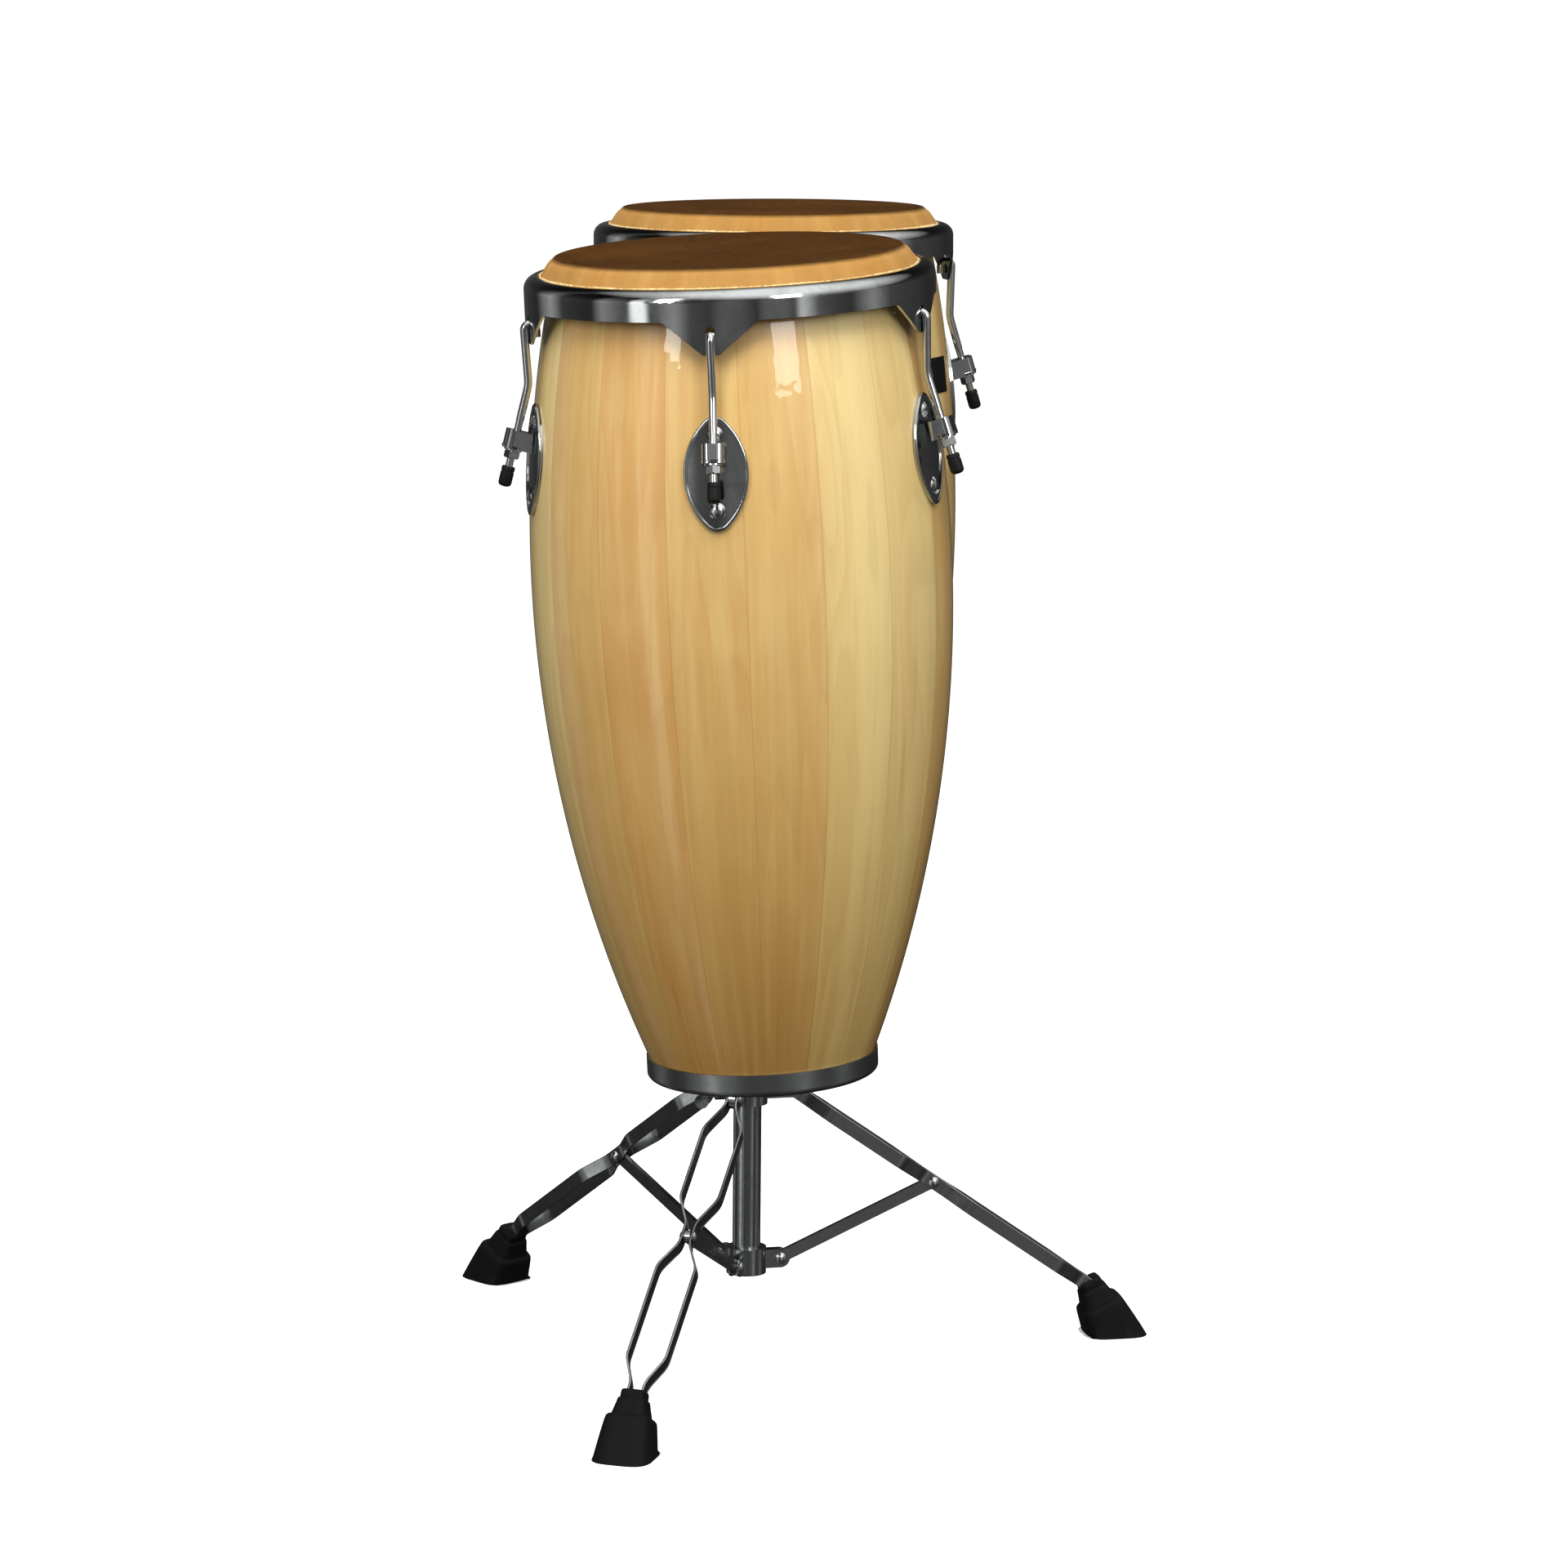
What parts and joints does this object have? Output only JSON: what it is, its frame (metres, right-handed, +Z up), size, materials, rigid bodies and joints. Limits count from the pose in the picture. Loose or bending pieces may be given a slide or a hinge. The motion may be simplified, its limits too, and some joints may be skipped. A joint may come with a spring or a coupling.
{
  "type": "conga drums",
  "caption": "Pair of stave-shell conga drums hung side by side on a folding tripod stand with a height post.",
  "frame": {"origin": "on the floor, on the axis of the centre post", "axes": "+Z up along the post; -Y towards the larger drum, the player side"},
  "size_m": [0.6408, 0.7903, 1.0233],
  "materials": {
    "lacquered_wood": "clear gloss lacquer over pale staves",
    "rawhide": "amber natural skin, satin",
    "black_rubber": "matt moulded rubber",
    "black_plastic": "matt",
    "plated_steel": "bright plated",
    "bare_steel": "plain",
    "stand_chrome": "chrome plated tube and strip",
    "dark_chrome": "polished chrome"
  },
  "bodies": {
    "stand_post": {"post_tube": "stand_chrome", "post_plug": "black_plastic", "lower_collar": "stand_chrome", "brace_pivot_pins": "plated_steel"},
    "leg_collar": {"upper_collar": "stand_chrome", "leg_pivot_pins": "plated_steel"},
    "collar_screw": {"collar_wing_screw": "plated_steel"},
    "height_post": {"height_tube": "stand_chrome", "height_clamp": "stand_chrome", "cradle_plate": "stand_chrome", "cradle_prongs": "stand_chrome"},
    "clamp_screw": {"height_screw": "plated_steel"},
    "front_leg": {"front_leg_near_strip": "stand_chrome", "front_leg_far_strip": "stand_chrome", "front_leg_rivets": "plated_steel", "front_rubber_foot": "black_rubber"},
    "front_leg_brace": {"front_brace": "stand_chrome"},
    "right_leg": {"right_leg_near_strip": "stand_chrome", "right_leg_far_strip": "stand_chrome", "right_leg_rivets": "plated_steel", "right_rubber_foot": "black_rubber"},
    "right_leg_brace": {"right_brace": "stand_chrome"},
    "left_leg": {"left_leg_near_strip": "stand_chrome", "left_leg_far_strip": "stand_chrome", "left_leg_rivets": "plated_steel", "left_rubber_foot": "black_rubber"},
    "left_leg_brace": {"left_brace": "stand_chrome"},
    "front_drum": {"front_shell": "lacquered_wood", "front_foot_band": "dark_chrome", "front_head_skin": "rawhide", "front_side_plates": "dark_chrome", "front_plate_bolts": "plated_steel", "front_mount_saddle": "stand_chrome", "front_saddle_bolts": "plated_steel"},
    "front_rim": {"front_tension_rim": "dark_chrome", "front_flesh_hoop": "bare_steel", "front_tuning_hooks": "plated_steel", "front_hook_caps": "black_rubber"},
    "front_nut_1": {"front_tuning_nut_1": "plated_steel"},
    "front_nut_2": {"front_tuning_nut_2": "plated_steel"},
    "front_nut_3": {"front_tuning_nut_3": "plated_steel"},
    "front_nut_4": {"front_tuning_nut_4": "plated_steel"},
    "front_nut_5": {"front_tuning_nut_5": "plated_steel"},
    "rear_drum": {"rear_shell": "lacquered_wood", "rear_foot_band": "dark_chrome", "rear_head_skin": "rawhide", "rear_side_plates": "dark_chrome", "rear_plate_bolts": "plated_steel", "rear_mount_saddle": "stand_chrome", "rear_saddle_bolts": "plated_steel", "rear_blank_badge": "black_plastic"},
    "rear_rim": {"rear_tension_rim": "dark_chrome", "rear_flesh_hoop": "bare_steel", "rear_tuning_hooks": "plated_steel", "rear_hook_caps": "black_rubber"},
    "rear_nut_1": {"rear_tuning_nut_1": "plated_steel"},
    "rear_nut_2": {"rear_tuning_nut_2": "plated_steel"},
    "rear_nut_3": {"rear_tuning_nut_3": "plated_steel"},
    "rear_nut_4": {"rear_tuning_nut_4": "plated_steel"},
    "rear_nut_5": {"rear_tuning_nut_5": "plated_steel"}
  },
  "joints": [
    {"name": "tripod_fold", "type": "slide", "parent": "stand_post", "child": "leg_collar", "axis": [0, 0, 1], "range_m": [0, 0.1583]},
    {"name": "front_leg_hinge", "type": "hinge", "parent": "leg_collar", "child": "front_leg", "pos_m": [-0.01178, -0.03854, 0.2434], "axis": [0.9563, -0.2924, 0], "range_deg": [0, 49.95]},
    {"name": "front_brace_hinge", "type": "hinge", "parent": "stand_post", "child": "front_leg_brace", "pos_m": [-0.00903, -0.02955, 0.0868], "axis": [-0.9563, 0.2924, 0], "range_deg": [0, 57.23]},
    {"name": "right_leg_hinge", "type": "hinge", "parent": "leg_collar", "child": "right_leg", "pos_m": [0.03927, 0.00907, 0.2434], "axis": [-0.225, 0.9744, 0], "range_deg": [0, 49.95]},
    {"name": "right_brace_hinge", "type": "hinge", "parent": "stand_post", "child": "right_leg_brace", "pos_m": [0.03011, 0.00695, 0.0868], "axis": [0.225, -0.9744, 0], "range_deg": [0, 57.23]},
    {"name": "left_leg_hinge", "type": "hinge", "parent": "leg_collar", "child": "left_leg", "pos_m": [-0.02748, 0.02947, 0.2434], "axis": [-0.7314, -0.682, 0], "range_deg": [0, 49.95]},
    {"name": "left_brace_hinge", "type": "hinge", "parent": "stand_post", "child": "left_leg_brace", "pos_m": [-0.02107, 0.0226, 0.0868], "axis": [0.7314, 0.682, 0], "range_deg": [0, 57.23]},
    {"name": "collar_screw_turn", "type": "hinge", "parent": "leg_collar", "child": "collar_screw", "pos_m": [-0.01949, -0.0045, 0.2434], "axis": [-0.9744, -0.225, 0], "range_deg": [0, 180]},
    {"name": "height_slide", "type": "slide", "parent": "stand_post", "child": "height_post", "axis": [0, 0, 1], "range_m": [0, 0.1]},
    {"name": "clamp_screw_turn", "type": "hinge", "parent": "height_post", "child": "clamp_screw", "pos_m": [-0.031, 0, 0.453], "axis": [0, 1, 0], "range_deg": [0, 180]},
    {"name": "front_drum_lift", "type": "slide", "parent": "height_post", "child": "front_drum", "axis": [0, 0, 1], "range_m": [0, 0.075]},
    {"name": "front_tuning", "type": "slide", "parent": "front_drum", "child": "front_rim", "axis": [-0.0498, -0.0022, 0.9988], "range_m": [0, 0.003]},
    {"name": "front_nut_1_turn", "type": "hinge", "parent": "front_drum", "child": "front_nut_1", "pos_m": [-0.03226, -0.37792, 0.8547], "axis": [-0.0216, 0.2807, 0.9596], "range_deg": [0, 766]},
    {"name": "front_nut_2_turn", "type": "hinge", "parent": "front_drum", "child": "front_nut_2", "pos_m": [0.16353, -0.26153, 0.86472], "axis": [-0.3083, 0.1102, 0.9449], "range_deg": [0, 766]},
    {"name": "front_nut_3_turn", "type": "hinge", "parent": "front_drum", "child": "front_nut_3", "pos_m": [0.11346, -0.03912, 0.86272], "axis": [-0.235, -0.2155, 0.9478], "range_deg": [0, 766]},
    {"name": "front_nut_4_turn", "type": "hinge", "parent": "front_drum", "child": "front_nut_4", "pos_m": [-0.11328, -0.01805, 0.85145], "axis": [0.097, -0.2463, 0.9643], "range_deg": [0, 766]},
    {"name": "front_nut_5_turn", "type": "hinge", "parent": "front_drum", "child": "front_nut_5", "pos_m": [-0.20333, -0.22744, 0.84649], "axis": [0.2289, 0.0603, 0.9716], "range_deg": [0, 766]},
    {"name": "rear_drum_lift", "type": "slide", "parent": "height_post", "child": "rear_drum", "axis": [0, 0, 1], "range_m": [0, 0.075]},
    {"name": "rear_tuning", "type": "slide", "parent": "rear_drum", "child": "rear_rim", "axis": [-0.0084, 0.0397, 0.9992], "range_m": [0, 0.003]},
    {"name": "rear_nut_1_turn", "type": "hinge", "parent": "rear_drum", "child": "rear_nut_1", "pos_m": [0.19613, 0.2468, 0.85611], "axis": [-0.2848, -0.0259, 0.9582], "range_deg": [0, 766]},
    {"name": "rear_nut_2_turn", "type": "hinge", "parent": "rear_drum", "child": "rear_nut_2", "pos_m": [0.03394, 0.38767, 0.84916], "axis": [-0.0328, -0.2447, 0.969], "range_deg": [0, 766]},
    {"name": "rear_nut_3_turn", "type": "hinge", "parent": "rear_drum", "child": "rear_nut_3", "pos_m": [-0.15032, 0.27703, 0.852], "axis": [0.2534, -0.0728, 0.9646], "range_deg": [0, 766]},
    {"name": "rear_nut_4_turn", "type": "hinge", "parent": "rear_drum", "child": "rear_nut_4", "pos_m": [-0.102, 0.06777, 0.86072], "axis": [0.1783, 0.2522, 0.9511], "range_deg": [0, 766]},
    {"name": "rear_nut_5_turn", "type": "hinge", "parent": "rear_drum", "child": "rear_nut_5", "pos_m": [0.11211, 0.04908, 0.86326], "axis": [-0.1543, 0.2813, 0.9471], "range_deg": [0, 766]}
  ],
  "couplings": [
    {"joint": "front_leg_hinge", "follows": "tripod_fold", "rad_per_m": 5.5017},
    {"joint": "front_brace_hinge", "follows": "tripod_fold", "rad_per_m": 6.3047},
    {"joint": "right_leg_hinge", "follows": "tripod_fold", "rad_per_m": 5.5017},
    {"joint": "right_brace_hinge", "follows": "tripod_fold", "rad_per_m": 6.3047},
    {"joint": "left_leg_hinge", "follows": "tripod_fold", "rad_per_m": 5.5017},
    {"joint": "left_brace_hinge", "follows": "tripod_fold", "rad_per_m": 6.3047},
    {"joint": "front_nut_1_turn", "follows": "front_tuning", "rad_per_m": 4453},
    {"joint": "front_nut_2_turn", "follows": "front_tuning", "rad_per_m": 4453},
    {"joint": "front_nut_3_turn", "follows": "front_tuning", "rad_per_m": 4453},
    {"joint": "front_nut_4_turn", "follows": "front_tuning", "rad_per_m": 4453},
    {"joint": "front_nut_5_turn", "follows": "front_tuning", "rad_per_m": 4453},
    {"joint": "rear_nut_1_turn", "follows": "rear_tuning", "rad_per_m": 4453},
    {"joint": "rear_nut_2_turn", "follows": "rear_tuning", "rad_per_m": 4453},
    {"joint": "rear_nut_3_turn", "follows": "rear_tuning", "rad_per_m": 4453},
    {"joint": "rear_nut_4_turn", "follows": "rear_tuning", "rad_per_m": 4453},
    {"joint": "rear_nut_5_turn", "follows": "rear_tuning", "rad_per_m": 4453}
  ]
}
